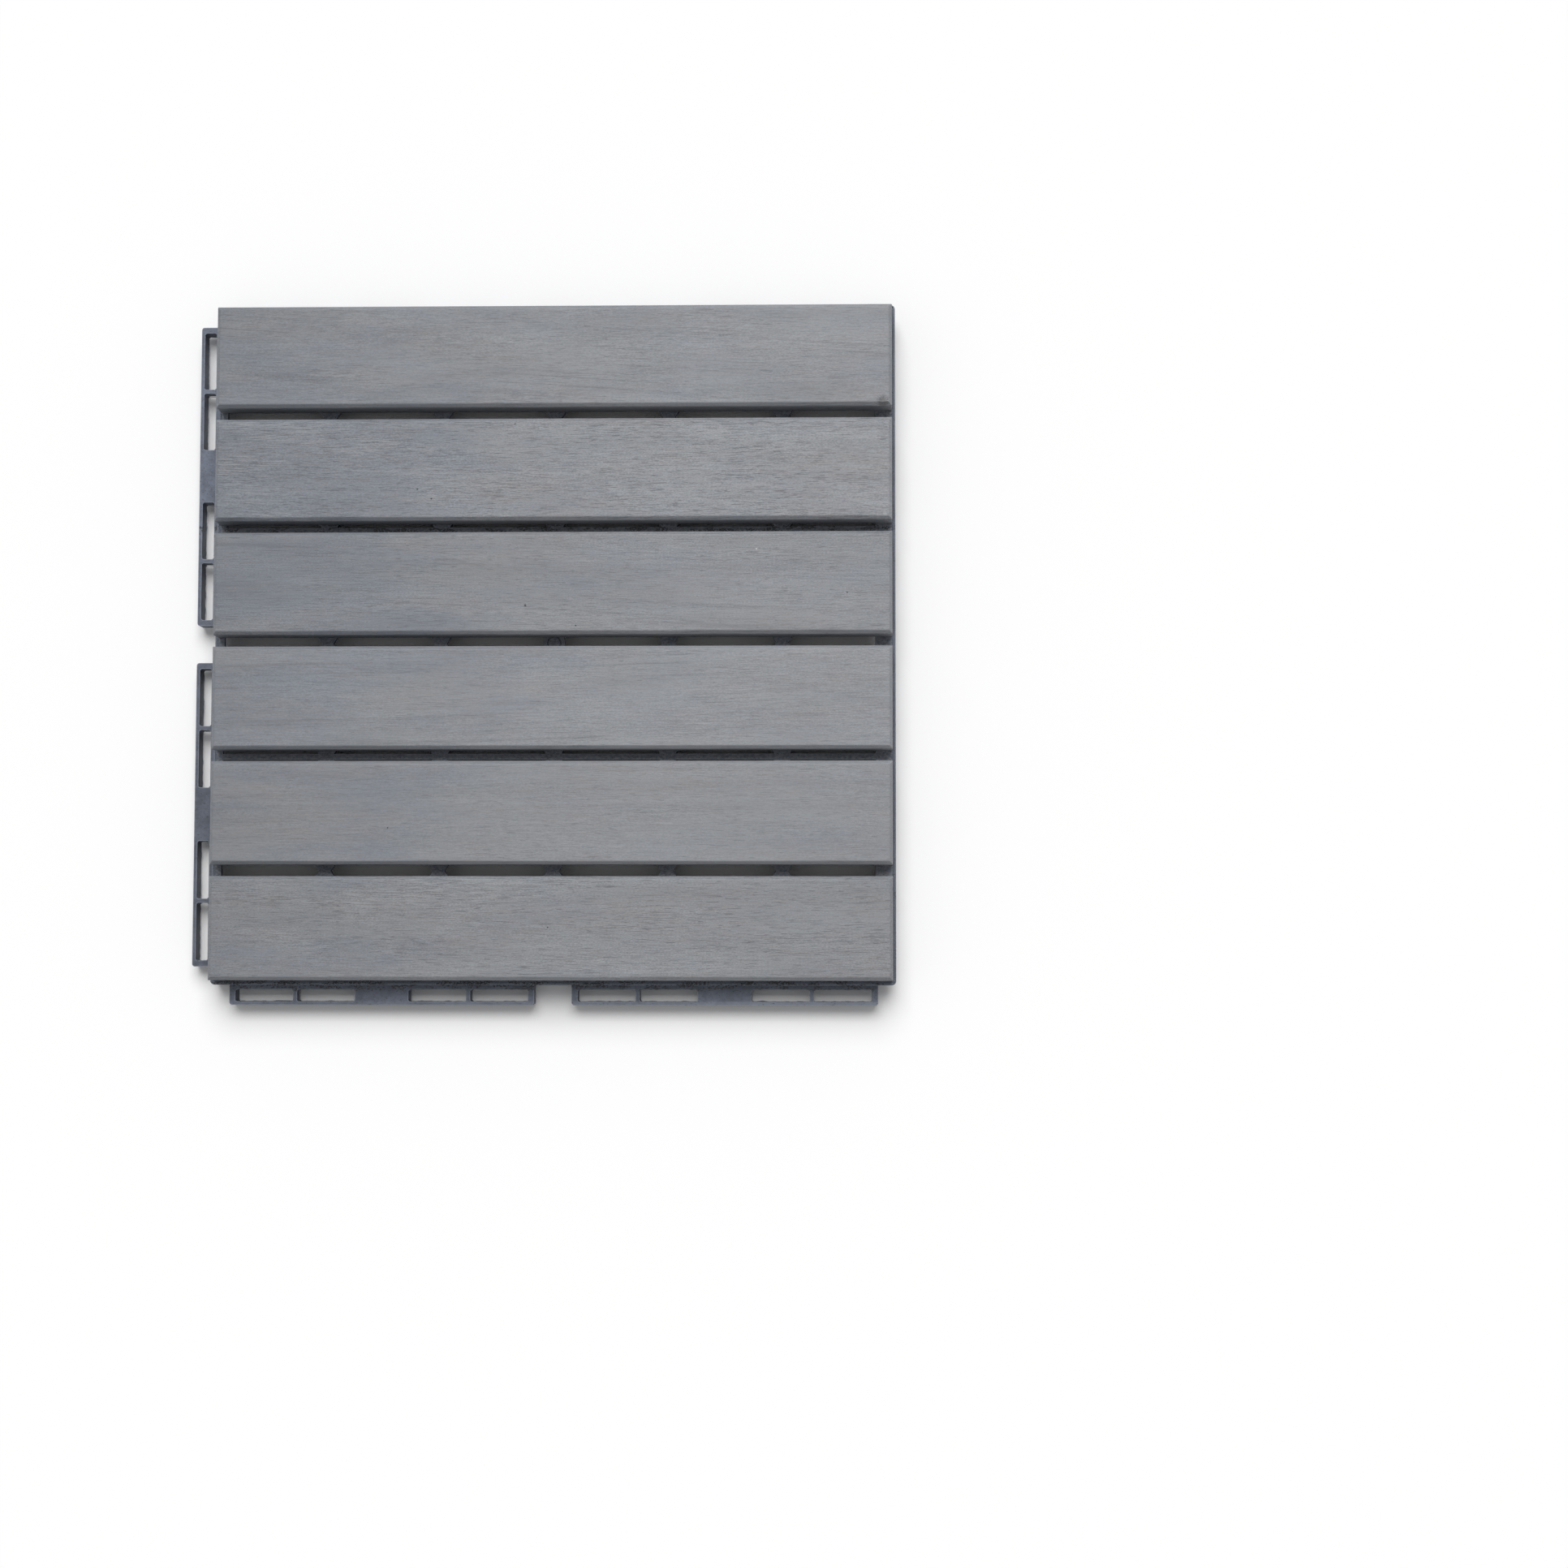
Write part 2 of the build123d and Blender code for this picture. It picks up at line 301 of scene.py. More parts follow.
def wood(name, seed, gain, rise, warmth, end_blue, rosy, strength, cloud, slant):
    """Grey stained hardwood. The grain runs along X and wanders a little."""
    low, high = slat_boxes[f"slat_{seed}"]
    m = Recipe(name)
    along, across, height = m.axes(m.place)
    shift = tuple(seed * step for step in slat_shift)
    turned = (shift[1], shift[2], shift[0])
    backward = shift[::-1]

    def grained(size, offset, detail, roughness=0.5, place=None):
        """Noise in features of this size along and across the grain."""
        length, width = size
        return m.noise((length, width, width), offset, detail=detail, roughness=roughness, place=place or grain)

    # The grain's slow wander across the slat
    wander = m.math("SUBTRACT", grained(wander_size, shift, 0.0, place=m.place), 0.5)
    swung = m.math("ADD", across, m.math("MULTIPLY", wander, wander_reach))
    grain = m.joined(along, swung, height)
    slanted = m.joined(along, m.math("ADD", swung, m.math("MULTIPLY", along, slant)), height)

    # Stain: faint blue and warm patches, and fibres that took none
    patch = m.math("SUBTRACT", grained(stain_size, shift, 7.0, roughness=0.72), 0.5)
    patch = m.math("MULTIPLY", patch, m.window(along, *calmer_stain))
    patch = m.math("ADD", patch, m.window(along, *bluer_left, 0.50 + warmth - end_blue, 0.53 + warmth))
    colour = m.blend(m.window(patch, *stain_shows), wood_blue, wood_warm)
    unstained = grained(unstained_size, backward, 4.0, roughness=0.75)
    unstained = m.window(unstained, *unstained_shows, 0.0, rosy)
    in_places = m.window(grained(unstained_patch, backward, 3.0), *unstained_in_places)
    colour = m.blend(m.math("MULTIPLY", unstained, in_places), colour, rosy_tint, "MULTIPLY")
    # Painted light falloff along the slat, darker to the left and lighter to the right, tilted by the slat's rise
    lit_falloff = m.window(along, *painted_light_ramp)
    lit_falloff = m.math("ADD", lit_falloff, m.math("MULTIPLY", along, rise / high.x))

    # Growth bands, and fine streaks that show more strongly in some places
    figure = grained(figure_size, turned, 2.0)
    figure = m.window(figure, *figure_shows, *(end * strength for end in figure_range))
    bands = grained(band_size, shift, 3.0)
    streaks = grained(streak_size, shift, 4.0, roughness=0.65)
    silk = grained(silk_size, shift, 2.0)
    fibre = grained(fibre_size, turned, 1.0)
    fine = m.math("ADD", m.swing(streaks, streak_swing), m.swing(silk, silk_swing))
    fine = m.math("ADD", fine, m.swing(fibre, fibre_swing))
    shade = m.math("ADD", m.swing(bands, band_swing), m.math("MULTIPLY", fine, figure))

    # Slow lights and darks, and in places long growth lines that cross the slat at a slant
    cloudy = grained(cloud_size, turned, 3.0, place=slanted)
    shade = m.math("ADD", shade, m.swing(cloudy, cloud, *cloud_shows))
    growth = grained(growth_size, shift, 1.0, place=slanted)
    growth = m.window(growth, *growth_shows, 0.0, -growth_share * cloud)
    in_places = m.window(grained(growth_patch, backward, 1.0, place=m.place), *growth_in_places)
    shade = m.math("ADD", shade, m.math("MULTIPLY", growth, in_places))
    # With the slat's brightness and the painted light falloff
    shade = m.math("MULTIPLY", m.math("ADD", shade, 1.0), m.math("MULTIPLY", lit_falloff, gain))
    colour = m.blend(1.0, colour, shade, "MULTIPLY")

    # Open pores, as short dark dashes that gather in bands, and pale dashes of silk
    crowd = m.window(grained(pore_band, shift, 2.0), *crowding)
    dashes = (grained(short_pore, shift, 0.0), grained(long_pore, backward, 0.0))
    dashes = (m.math("SUBTRACT", dash, crowd) for dash in dashes)
    pores = m.math("MAXIMUM", *(m.window(dash, *pore_shows, 0.0, pore_strength * strength) for dash in dashes))
    colour = m.blend(pores, colour, wood_pore)
    silver = m.math("MULTIPLY", grained(silver_size, turned, 1.0), figure)
    colour = m.blend(m.window(silver, *silver_shows), colour, wood_silk)

    # A few dark and pale specks, and the marks
    colour = m.specked(colour, grime_tone, shift, *dark_specks)
    colour = m.specked(colour, dust_tone, backward, *pale_specks)
    for (x, y), radius, tone in slat_marks.get(seed, ()):
        away = m.distance((x * MM, y * MM, high.z))
        uneven = m.math("MULTIPLY", away, m.window(fibre, *uneven_mark))
        mark = m.window(uneven, mark_core * radius * MM, radius * MM, mark_strength, 0.0)
        colour = m.blend(mark, colour, tone)

    # Faces that turn away from up, chamfers and sides, get a painted shade a little darker and bluer. The ends
    # took the stain darker
    facing_x, _, facing_z = m.axes(m.node("ShaderNodeNewGeometry").outputs["True Normal"])
    colour = m.blend(m.window(facing_z, *side_shade_facing), colour, side_shade_tint, "MULTIPLY")
    rough = m.noise(rough_lengths, shift, detail=3.0, distortion=0.4)
    pith = (0.0, low.y + (first_pith + pith_step * seed) * (high.y - low.y), low.z - pith_depth)
    rings = m.math("SINE", m.math("MULTIPLY", m.distance(pith, (0.0, 1.0, 1.0)), 2 * math.pi / ring_pitch))
    end_tone = m.math("ADD", m.window(rough, *end_tones), m.math("MULTIPLY", rings, ring_strength))
    end_grain = m.blend(end_tone, end_dark, end_pale)
    to_the_end = m.math("ABSOLUTE", facing_x)
    colour = m.blend(m.window(to_the_end, *end_facing), colour, end_grain)
    torn = m.math("MULTIPLY", m.window(to_the_end, *end_chamfer_facing), m.window(rough, *torn_shows))
    colour = m.blend(torn, colour, wood_silk)

    # Pale fibres stand on the arris between the end chamfers and the ends
    arris = m.window(m.math("ABSOLUTE", along), *(high.x - reach for reach in arris_reach), 0.0, arris_strength)
    arris = m.math("MULTIPLY", arris, m.window(rough, *arris_in_places))
    arris = m.math("MULTIPLY", arris, m.window(height, *(high.z - below for below in arris_below)))
    colour = m.blend(arris, colour, wood_silk)
    if seed == gouged_slat:
        away = m.distance((high.x - gouge_from_end, low.y + gouge_from_side, high.z - gouge_from_top))
        away = m.math("MULTIPLY", away, m.window(fibre, *uneven_gouge))
        gouge = m.window(away, gouge_core * gouge_radius, gouge_radius, gouge_strength, 0.0)
        colour = m.blend(gouge, colour, end_grain)

    m.feed(m.shader.inputs["Base Color"], colour)
    m.feed(m.shader.inputs["Roughness"], m.window(streaks, *wood_roughness))
    m.feed(m.shader.inputs["Specular IOR Level"], wood_gloss)
    relief = m.math("MULTIPLY", streaks, streak_relief)
    relief = m.math("SUBTRACT", relief, m.math("MULTIPLY", pores, pore_relief))
    m.feed(m.shader.inputs["Normal"], m.raised(relief, wood_relief))
    return m.material


# The plastic's features
mottle_lengths = (9.0 * MM, 9.0 * MM, 9.0 * MM)
flow_lengths = (2.2 * MM, 1.4 * MM, 2.2 * MM)
powder_lengths = (1.3 * MM, 0.9 * MM, 1.3 * MM)
blotch_lengths = (8.0 * MM, 2.5 * MM, 2.5 * MM)
crumb_lengths = (0.9 * MM, 0.6 * MM, 0.6 * MM)
flecks = (6.0 * MM, 0.07, 0.30, 0.8)
loose_dust = (5.0 * MM, 0.05, 0.30, 0.55)
# Width of the painted edge highlight, and radius of the soft edges
highlight_width, soft_radius = 0.75 * MM, 0.22 * MM
plastic_relief, flow_relief, crumb_relief = 0.05 * MM, 0.5, 0.5
plastic_gloss = 0.45
mottle_share, flow_share = 0.55, 0.45
tone_shows = (0.35, 0.65)
powder_shows = (0.40, 0.62, 0.10, 0.65)
blotch_adds = (0.44, 0.58, 0.0, 0.19)
grime_shows = (0.63, 0.67, 0.0, 0.92)
upward_facing = (0.70, 0.95)
# How far an edge turns, for the painted highlight
highlight_turn = (0.75, 0.99, 0.85, 0.0)
plastic_roughness = (0.25, 0.75, 0.48, 0.66)

# Where it differs: from and to these places, and how much there
# Painted sheen on the left loops, from darker at the front to paler at the back
sheen_back = (-90 * MM, 90 * MM, -0.19, 0.24)
# Strength of the painted rim highlight, growing to the right
highlight_right = (-140 * MM, 140 * MM, 0.06, 0.24)
dirty_rib, rib_reach = 49.8 * MM, 3.0 * MM

# The same, inward from the front end, outward from the front slat, and down from the grid's top
outer_rim = (1.2 * MM, 2.0 * MM)
dirty_ledge = (7.0 * MM, 2.0 * MM)
dirt_below = (6.0 * MM, 3.0 * MM)

# From the edges of the deck to where the left loops, the gaps and the ledge begin
left_margin, gap_margin, ledge_margin = 1.0 * MM, 2.0 * MM, 0.2 * MM


def plastic(name):
    """Slate grey moulded plastic, faintly mottled, with painted highlights on its upper edges and front rim,
    painted sheen on the left loops, and dust and grime in places.
    """
    m = Recipe(name)
    along, across, height = m.axes(m.place)
    true_normal = m.node("ShaderNodeNewGeometry").outputs["True Normal"]
    upward = m.window(m.axes(true_normal)[2], *upward_facing)
    mottle = m.noise(mottle_lengths, detail=5.0, roughness=0.6)
    flow = m.noise(flow_lengths, (3.0, 1.0, 2.0), detail=4.0, roughness=0.65, distortion=0.6)
    tone = m.math("ADD", m.math("MULTIPLY", mottle, mottle_share), m.math("MULTIPLY", flow, flow_share))
    colour = m.blend(m.window(tone, *tone_shows), plastic_dark, plastic_light)

    # The left loops are paler towards the back and darker towards the front: painted sheen
    on_left = m.math("LESS_THAN", along, deck_low.x - left_margin)
    left_sheen = m.math("MULTIPLY", m.window(across, *sheen_back), on_left)
    colour = m.blend(1.0, colour, m.math("ADD", left_sheen, 1.0), "MULTIPLY")

    # Upper edges are paler: a painted highlight
    probe = m.node("ShaderNodeBevel", samples=4)
    m.feed(probe.inputs["Radius"], highlight_width)
    turn = m.node("ShaderNodeVectorMath", operation="DOT_PRODUCT")
    m.feed(turn.inputs[0], probe.outputs[0])
    m.feed(turn.inputs[1], true_normal)
    edge_highlight = m.math("MULTIPLY", m.window(turn.outputs["Value"], *highlight_turn), upward)
    colour = m.blend(edge_highlight, colour, plastic_highlight)

    # And a painted highlight on the outer rim of the front loops, stronger to the right, where the painted light
    # is brighter
    rim_highlight = m.window(across, *(cad_low.y + inward for inward in outer_rim), 1.0, 0.0)
    rim_highlight = m.math("MULTIPLY", m.math("MULTIPLY", rim_highlight, m.window(along, *highlight_right)), upward)
    colour = m.blend(rim_highlight, colour, plastic_highlight)

    # Dust of the boards lies in the gaps
    near_top = m.window(height, *(grid_top - below for below in dirt_below))
    in_gaps = m.math("LESS_THAN", m.math("ABSOLUTE", across), deck_high.y - gap_margin)
    in_gaps = m.math("MULTIPLY", in_gaps, m.math("LESS_THAN", m.math("ABSOLUTE", along), deck_high.x))
    powder = m.noise(powder_lengths, (6.0, 5.0, 4.0), detail=4.0, roughness=0.7)
    powder = m.math("MULTIPLY", m.window(powder, *powder_shows), m.math("MULTIPLY", in_gaps, near_top))
    colour = m.blend(m.math("MULTIPLY", powder, upward), colour, dust_tone)

    # Grime: crumbs in blotches, on the ledge before the front slat and on the rib in the back one of the two
    # ribbed gaps
    ledge = m.window(across, *(deck_low.y - before for before in dirty_ledge))
    ledge = m.math("MULTIPLY", ledge, m.math("LESS_THAN", across, deck_low.y + ledge_margin))
    off_rib = m.math("ABSOLUTE", m.math("SUBTRACT", across, dirty_rib))
    on_rib = m.math("LESS_THAN", off_rib, rib_reach)
    settled = m.math("MULTIPLY", m.math("MAXIMUM", ledge, on_rib), near_top)
    blotch = m.noise(blotch_lengths, (5.0, 2.0, 7.0), detail=3.0)
    crumbs = m.noise(crumb_lengths, (1.0, 4.0, 2.0), detail=3.0, roughness=0.6)
    thick = m.math("MULTIPLY", m.window(blotch, *blotch_adds), settled)
    grime = m.window(m.math("ADD", crumbs, thick), *grime_shows)
    colour = m.blend(grime, colour, grime_tone)

    # Loose dark and pale specks
    colour = m.specked(colour, grime_tone, (2.0, 6.0, 1.0), *flecks)
    colour = m.specked(colour, dust_tone, (8.0, 3.0, 4.0), *loose_dust)

    m.feed(m.shader.inputs["Base Color"], colour)
    m.feed(m.shader.inputs["Roughness"], m.window(flow, *plastic_roughness))
    m.feed(m.shader.inputs["Specular IOR Level"], plastic_gloss)
    soft_edge = m.node("ShaderNodeBevel", samples=4)
    m.feed(soft_edge.inputs["Radius"], soft_radius)
    skin = m.math("ADD", m.math("MULTIPLY", flow, flow_relief), m.math("MULTIPLY", crumbs, crumb_relief))
    m.feed(m.shader.inputs["Normal"], m.raised(skin, plastic_relief, soft_edge.outputs[0]))
    return m.material


# The zinc's features
bloom_lengths = (1.6 * MM, 1.6 * MM, 1.6 * MM)
scuff_lengths = (0.25 * MM, 2.0 * MM, 0.25 * MM)
zinc_relief = 0.01 * MM
bloom_shows, zinc_roughness = (0.3, 0.7), (0.28, 0.46)


def zinc(name):
    """Zinc plated steel with a faint bloom."""
    m = Recipe(name)
    bloom = m.noise(bloom_lengths, detail=4.0, roughness=0.6)
    scuff = m.noise(scuff_lengths, (4.0, 4.0, 4.0), detail=3.0)
    colour = m.blend(m.window(bloom, *bloom_shows), zinc_tone, zinc_bloom)
    m.feed(m.shader.inputs["Base Color"], colour)
    m.feed(m.shader.inputs["Metallic"], 1.0)
    m.feed(m.shader.inputs["Roughness"], m.window(bloom, *bloom_shows, *zinc_roughness))
    m.feed(m.shader.inputs["Normal"], m.raised(scuff, zinc_relief))
    return m.material


# Edges of the scene's pieces are sharp where they turn by more than this
sharp_from = math.radians(32)


def piece(name, vertices, faces, material, stands_for=()):
    """A new object of the scene that rides with the part."""
    mesh = bpy.data.meshes.new(name)
    mesh.from_pydata(vertices, [], faces)
    form = bmesh.new()
    form.from_mesh(mesh)
    bmesh.ops.recalc_face_normals(form, faces=form.faces)
    form.to_mesh(mesh)
    form.free()
    mesh.polygons.foreach_set("use_smooth", [True] * len(mesh.polygons))
    mesh.set_sharp_from_angle(angle=sharp_from)
    made = bpy.data.objects.new(name, mesh)
    bpy.context.scene.collection.objects.link(made)
    mesh.materials.append(material)
    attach(made, "root")
    if stands_for:
        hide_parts(*stands_for)


# Slats: their forms
top_chamfer, foot_chamfer = 1.5 * MM, 0.5 * MM
edge_round, corner_round = 0.14 * MM, 0.3 * MM
arris_round, chamfer_round = 0.20 * MM, 0.22 * MM
screw_bars = (-99.6 * MM, 99.6 * MM)
pilot_radius, pilot_top = 2.05 * MM, 22.2 * MM
hole_sides = 24

# Where the lines of their mesh lie
edge_steps = [d * MM for d in (0.14, 0.30, 0.60, 1.00, 1.30, 1.50, 1.70, 2.00, 2.50, 3.20)]
gouge_steps = [d * MM for d in (3.7, 4.2, 4.7, 5.2, 5.7, 6.3, 7.0, 7.8)]
step_along, step_across = 2.6 * MM, 0.42 * MM
wall_levels = (0.65, 0.45, 0.25)

# How unevenly they are planed, chamfered, sawn and chipped: lengths of the waves, and depths
slow_length, slow_width, slow_depth = 90 * MM, 22 * MM, 0.045 * MM
ridge_length, ridge_width, ridge_depth = 35 * MM, 0.9 * MM, 0.022 * MM
side_wave, side_share = 40 * MM, 0.07
end_wave, end_share, end_least = 12 * MM, 0.09, 0.93
chip_width, chip_patch, chip_share, chip_least = 0.8 * MM, 7.0 * MM, 0.5, 0.2
left_chips, right_chips = 0.50 * MM, 0.22 * MM
pit_size, pit_height = 4.0 * MM, 2.0 * MM
deep_pits, shallow_pits = 0.07 * MM, 0.04 * MM
gouge_tears, gouge_least, gouge_share = (1.3 * MM, 0.7 * MM), 0.7, 0.8


def inset_lines(length, step):
    """Distances from one edge of a slat, close together at both edges."""
    inner = length - 2 * edge_steps[-1]
    count = round(inner / step)
    middle = [edge_steps[-1] + inner * k / count for k in range(1, count)]
    return edge_steps + middle + [length - d for d in reversed(edge_steps)]


def smooth_max(first, second, width):
    """The larger of the two, rounded over this width where they are nearly the same."""
    span = max(width - abs(first - second), 0.0) / width
    return max(first, second) + span * span * width / 4


def grain_height(x, y, seed):
    """Raised grain and slow unevenness of a planed face, never above it."""
    slow = noise.noise(Vector((x / slow_length, y / slow_width, seed)))
    ridges = noise.noise(Vector((x / ridge_length, y / ridge_width, seed + 7.1)))
    return slow_depth * (slow - 1.0) + ridge_depth * (ridges - 1.0)


def slat(name, material, seed):
    """One slat with planed, slightly uneven chamfers, worn corners and two pilot holes below."""
    low, high = slat_boxes[name]
    length, width = high.x - low.x, high.y - low.y
    xs, ys = inset_lines(length, step_along), inset_lines(width, step_across)
    gouged = name == f"slat_{gouged_slat}"
    if gouged:
        xs = sorted(xs + [length - d for d in gouge_steps])
    vertices, faces = [], []

    def add(x, y, z):
        """Rounds the slat's upright corners, and adds the vertex."""
        dx, dy = min(x, length - x), min(y, width - y)
        if dx < corner_round and dy < corner_round:
            px, py = corner_round - dx, corner_round - dy
            pull = max(px, py) / max(math.hypot(px, py), 1e-9)
            dx, dy = corner_round - px * pull, corner_round - py * pull
            x = dx if x < length / 2 else length - dx
            y = dy if y < width / 2 else width - dy
        vertices.append((low.x + x, low.y + y, z))
        return len(vertices) - 1

    def end_chip(y, side):
        """Where the end grain broke out a little at the chamfer."""
        rough = noise.noise(Vector((y / chip_width, side * 3.7, seed)))
        patchy = chip_share + noise.noise(Vector((y / chip_patch, side * 5.1, seed)))
        return (left_chips if side == 1 else right_chips) * max(rough, 0.0) * max(patchy, chip_least)

    def surface(x, y):
        """Height of the top at this place."""
        wave_x = noise.noise(Vector((x / side_wave, seed, 2.0 if y < width / 2 else 5.0)))
        wave_y = noise.noise(Vector((y / end_wave, seed, 8.0 if x < length / 2 else 11.0)))
        drop_y = top_chamfer * (1 + side_share * wave_x) - min(y, width - y)
        drop_x = top_chamfer * (end_least + end_share * wave_y) - min(x, length - x)
        drop_x += end_chip(y, 1 if x < length / 2 else 2)
        drop = smooth_max(smooth_max(drop_x, drop_y, arris_round), 0.0, chamfer_round)
        if gouged:
            away = math.hypot(length - gouge_from_end - x, gouge_from_side - y) / gouge_radius
            tear_x, tear_y = gouge_tears
            ragged_edge = gouge_least + gouge_share * noise.noise(Vector((x / tear_x, y / tear_y, seed)))
            drop += gouge_depth * max(1 - away * away, 0.0) * max(ragged_edge, 0.0)
        return high.z - drop + grain_height(x, y, seed)

    top = [[add(x, y, surface(x, y)) for y in ys] for x in xs]
    last_x, last_y = len(xs) - 1, len(ys) - 1
    edge_cells = len(edge_steps) - 1
    for i in range(last_x):
        for j in range(last_y):
            a, b, c, d = top[i][j], top[i + 1][j], top[i + 1][j + 1], top[i][j + 1]
            if min(i, last_x - 1 - i) >= edge_cells or min(j, last_y - 1 - j) >= edge_cells:
                faces.append((a, b, c, d))
            elif (i < edge_cells) == (j < edge_cells):
                faces.extend([(a, b, c), (a, c, d)])
            else:
                faces.extend([(a, b, d), (b, c, d)])

    # The rim of the top, once round, and the walls under it
    around = [(i, 0) for i in range(last_x)] + [(last_x, j) for j in range(last_y)]
    around += [(i, last_y) for i in range(last_x, 0, -1)] + [(0, j) for j in range(last_y, 0, -1)]
    ring = [top[i][j] for i, j in around]

    def wall_ring(z, inset, rough):
        """One turn round the walls at this height, with pits this deep."""
        made = []
        for i, j in around:
            x, y = xs[i], ys[j]
            x = inset if i == 0 else length - inset if i == last_x else x
            y = inset if j == 0 else width - inset if j == last_y else y
            pit = rough * abs(noise.noise(Vector((x / pit_size, y / pit_size, z / pit_height + seed))))
            x += pit if i == 0 else -pit if i == last_x else 0.0
            y += pit if j == 0 else -pit if j == last_y else 0.0
            made.append(add(x, y, z))
        return made

    levels = [(high.z - top_chamfer - edge_round, 0.0, shallow_pits)]
    levels += [(low.z + (high.z - low.z) * share, 0.0, deep_pits) for share in wall_levels]
    levels += [(low.z + foot_chamfer, 0.0, shallow_pits), (low.z, foot_chamfer, 0.0)]
    for z, inset, rough in levels:
        lower = wall_ring(z, inset, rough)
        count = len(ring)
        for k in range(count):
            faces.append((ring[k], lower[k], lower[(k + 1) % count], ring[(k + 1) % count]))
        ring = lower

    # Bottom with the pilot holes
    holes = []
    for x in screw_bars:
        circle = []
        for k in range(hole_sides):
            turn = 2 * math.pi * k / hole_sides
            px, py = x + pilot_radius * math.cos(turn), (low.y + high.y) / 2 + pilot_radius * math.sin(turn)
            vertices.append((px, py, low.z))
            vertices.append((px, py, pilot_top))
            circle.append(len(vertices) - 2)
        holes.append(circle)
        for k in range(hole_sides):
            a, b = circle[k], circle[(k + 1) % hole_sides]
            faces.append((a, b, b + 1, a + 1))
        faces.append([k + 1 for k in circle])
    loops = [ring] + holes
    order = [k for loop in loops for k in loop]
    flat = geometry.tessellate_polygon([[Vector(vertices[k]) for k in loop] for loop in loops])
    faces.extend(tuple(order[k] for k in triangle) for triangle in flat)
    piece(name.replace("slat_", "wood_slat_"), vertices, faces, material, (name,))


# Looks of the slats, front to back: brightness, how much it rises to the right, how far they lean from blue to
# warm, how much bluer the left end is, how rosy the unstained fibres are, how strong the grain is, how strong the
# slow lights and darks are, and how far the growth lines slant
slat_looks = [
    (0.985, -0.030, 0.07, 0.04, 0.65, 1.06, 0.012, 0.02),
    (1.010, 0.000, 0.07, 0.05, 0.60, 0.57, 0.016, -0.02),
    (1.069, -0.010, 0.05, 0.10, 0.55, 0.63, 0.045, -0.03),
    (0.995, 0.010, 0.045, 0.18, 0.55, 0.83, 0.045, 0.05),
    (1.066, 0.040, 0.02, 0.32, 0.65, 1.14, 0.024, 0.02),
    (1.042, 0.020, 0.05, 0.07, 0.55, 0.70, 0.055, 0.07),
]
seed_step = 3.3
for number, (name, look) in enumerate(zip(slat_names, slat_looks), start=1):
    slat(name, wood(f"stained_wood_{number}", number, *look), float(number) * seed_step)


# Grid: the solid as it is, in mottled plastic
grid_plastic = plastic("grid_plastic")
nodes["base_grid"].data.materials.clear()
nodes["base_grid"].data.materials.append(grid_plastic)


# Flash: thin ragged film along the lower edges of the slots
loop_centre = 74.7 * MM
slot_shifts = [d * MM for d in (-51.3, -24.3, 24.3, 51.3)]
slot_across = 153.7 * MM
slot_length, slot_width = 25.2 * MM, 5.2 * MM
loop_foot = 2.5 * MM
film, film_lift = 0.14 * MM, 0.02 * MM
film_root = 0.08 * MM
film_step = 0.22 * MM
film_wave, film_tooth = 3.2 * MM, 0.7 * MM
outer_reach, inner_reach = 0.34 * MM, 0.16 * MM
least_reach, mean_reach, wave_reach, tooth_reach = 0.15, 0.40, 1.2, 0.35
film_taper = 14


def ragged(start, run, inward, reach, seed, vertices, faces):
    """One film along a lower edge: from start, along run, sticking out inward by an uneven reach."""
    count = max(round(run.length / film_step), 2)
    first = len(vertices)
    up = Vector((0.0, 0.0, film))
    for k in range(count + 1):
        share = k / count
        spot = start + run * share
        wave = noise.noise(Vector((share * run.length / film_wave, seed, 0.0)))
        tooth = noise.noise(Vector((share * run.length / film_tooth, seed, 9.0)))
        uneven = max(least_reach, mean_reach + wave_reach * wave + tooth_reach * tooth)
        out = reach * uneven * min(1.0, film_taper * share, film_taper * (1 - share))
        sag = Vector((0.0, 0.0, 0.25 * film * tooth))
        root, tip = spot - inward * film_root, spot + inward * out
        vertices.extend([root, root + up, tip + up * 0.7 + sag, tip + sag])
        if k:
            a = first + 4 * (k - 1)
            for m in range(4):
                n = (m + 1) % 4
                faces.append((a + m, a + n, a + 4 + n, a + 4 + m))
    last = first + 4 * count
    faces.extend([(first, first + 1, first + 2, first + 3), (last + 3, last + 2, last + 1, last)])


def slot_flash():
    """The films of all slots, in the front and the left loops."""
    vertices, faces = [], []
    seed = 0.0
    base = Vector((0, 0, loop_foot + film_lift))
    sides = ((Vector((1, 0, 0)), Vector((0, -1, 0))), (Vector((0, 1, 0)), Vector((-1, 0, 0))))
    for centre in (-loop_centre, loop_centre):
        for shift in slot_shifts:
            for along, across in sides:
                middle = along * (centre + shift) + across * slot_across + base
                half_run, half_way = along * slot_length / 2, across * slot_width / 2
                outer = middle - half_run + half_way
                inner = middle - half_run - half_way
                ragged(outer, 2 * half_run, -across, outer_reach, seed + 0.3, vertices, faces)
                ragged(inner, 2 * half_run, across, inner_reach, seed + 1.3, vertices, faces)
                ragged(inner, 2 * half_way, along, inner_reach, seed + 2.3, vertices, faces)
                ragged(inner + 2 * half_run, 2 * half_way, -along, inner_reach, seed + 3.3, vertices, faces)
                seed += 5.0
    piece("slot_flash", vertices, faces, grid_plastic)


slot_flash()


# Screws, with pan heads, square recesses and threads that end in a point
screw_sides = 32
head_radius, head_bottom, head_top = 3.9 * MM, 7.4 * MM, 9.8 * MM
head_corner, corner_steps = 0.55 * MM, 4
recess_half, recess_top, recess_lip = 1.25 * MM, 9.0 * MM, 0.06 * MM
root_radius, crest_radius = 1.35 * MM, 1.95 * MM
thread_pitch, thread_step = 1.6 * MM, 0.2 * MM
thread_start, ridge_half = 0.8 * MM, 0.20
screw_tip, point_length, point_share = 21.8 * MM, 3.2 * MM, 0.06


